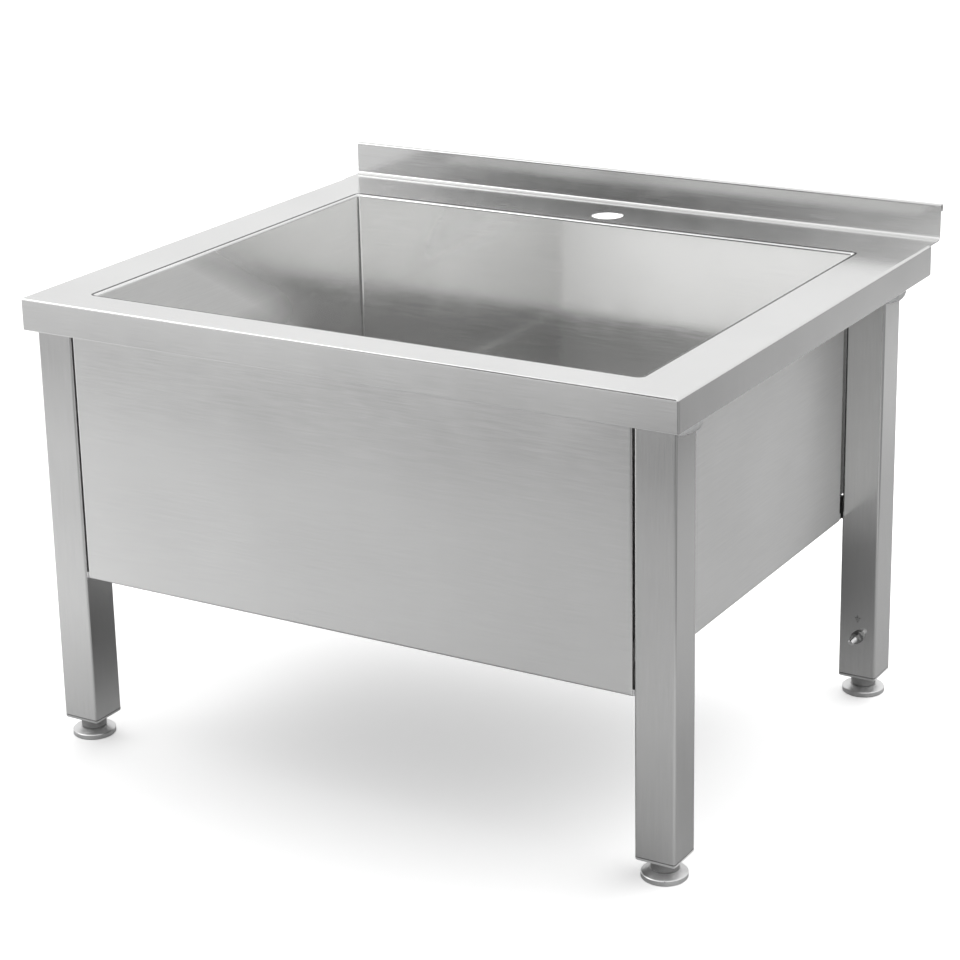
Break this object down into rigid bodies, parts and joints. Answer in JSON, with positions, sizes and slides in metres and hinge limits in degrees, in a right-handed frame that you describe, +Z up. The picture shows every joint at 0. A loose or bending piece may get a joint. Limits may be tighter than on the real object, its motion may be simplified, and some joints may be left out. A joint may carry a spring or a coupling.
{
  "type": "utility laundry sink",
  "caption": "Floor-standing stainless steel utility sink: a folded worktop with a rear upstand and tap hole, one deep square bowl, apron panels and square legs on screw feet.",
  "frame": {"origin": "on the floor, under the centre of the 700 x 600 mm outline, feet screwed right in", "axes": "+X to the right of someone at the sink, +Y to the wall and the upstand, +Z up"},
  "size_m": [0.7, 0.6, 0.496],
  "materials": {
    "satin_stainless": "satin, fine straight grain",
    "foot_metal": "smooth satin",
    "spindle_steel": "turned and plated",
    "polished_steel": "polished",
    "grey_plastic": "moulded, semi-matt",
    "black_rubber": "matt"
  },
  "bodies": {
    "frame": {"worktop": "satin_stainless", "bowl": "satin_stainless", "leg_front_left": "satin_stainless", "leg_front_right": "satin_stainless", "leg_rear_left": "satin_stainless", "leg_rear_right": "satin_stainless", "leg_top_plates": "satin_stainless", "front_panel": "satin_stainless", "side_panel_left": "satin_stainless", "side_panel_right": "satin_stainless", "panel_tabs": "satin_stainless", "end_plug_front_left": "grey_plastic", "end_plug_front_right": "grey_plastic", "end_plug_rear_left": "grey_plastic", "end_plug_rear_right": "grey_plastic", "waste_body": "polished_steel", "waste_seal": "black_rubber", "waste_washer": "black_rubber", "waste_backnut": "grey_plastic", "earth_stud": "polished_steel", "earth_washers": "polished_steel", "earth_nut": "polished_steel"},
    "pad_front_left": {"foot_pad_front_left": "foot_metal"},
    "spindle_front_left": {"foot_stem_front_left": "spindle_steel"},
    "pad_front_right": {"foot_pad_front_right": "foot_metal"},
    "spindle_front_right": {"foot_stem_front_right": "spindle_steel"},
    "pad_rear_left": {"foot_pad_rear_left": "foot_metal"},
    "spindle_rear_left": {"foot_stem_rear_left": "spindle_steel"},
    "pad_rear_right": {"foot_pad_rear_right": "foot_metal"},
    "spindle_rear_right": {"foot_stem_rear_right": "spindle_steel"},
    "stopper": {"drain_plug": "black_rubber", "plug_knob": "polished_steel"}
  },
  "joints": [
    {"name": "foot_height_front_left", "type": "slide", "parent": "frame", "child": "pad_front_left", "axis": [0, 0, -1], "range_m": [0, 0.02]},
    {"name": "foot_turn_front_left", "type": "hinge", "parent": "pad_front_left", "child": "spindle_front_left", "pos_m": [-0.322, -0.268, 0], "axis": [0, 0, -1], "range_deg": [0, 4115]},
    {"name": "foot_height_front_right", "type": "slide", "parent": "frame", "child": "pad_front_right", "axis": [0, 0, -1], "range_m": [0, 0.02]},
    {"name": "foot_turn_front_right", "type": "hinge", "parent": "pad_front_right", "child": "spindle_front_right", "pos_m": [0.322, -0.268, 0], "axis": [0, 0, -1], "range_deg": [0, 4115]},
    {"name": "foot_height_rear_left", "type": "slide", "parent": "frame", "child": "pad_rear_left", "axis": [0, 0, -1], "range_m": [0, 0.02]},
    {"name": "foot_turn_rear_left", "type": "hinge", "parent": "pad_rear_left", "child": "spindle_rear_left", "pos_m": [-0.322, 0.191, 0], "axis": [0, 0, -1], "range_deg": [0, 4115]},
    {"name": "foot_height_rear_right", "type": "slide", "parent": "frame", "child": "pad_rear_right", "axis": [0, 0, -1], "range_m": [0, 0.02]},
    {"name": "foot_turn_rear_right", "type": "hinge", "parent": "pad_rear_right", "child": "spindle_rear_right", "pos_m": [0.322, 0.191, 0], "axis": [0, 0, -1], "range_deg": [0, 4115]},
    {"name": "stopper_lift", "type": "slide", "parent": "frame", "child": "stopper", "axis": [0, 0, 1], "range_m": [0, 0.27]}
  ],
  "couplings": [
    {"joint": "foot_turn_front_left", "follows": "foot_height_front_left", "rad_per_m": 3590.4},
    {"joint": "foot_turn_front_right", "follows": "foot_height_front_right", "rad_per_m": 3590.4},
    {"joint": "foot_turn_rear_left", "follows": "foot_height_rear_left", "rad_per_m": 3590.4},
    {"joint": "foot_turn_rear_right", "follows": "foot_height_rear_right", "rad_per_m": 3590.4}
  ]
}
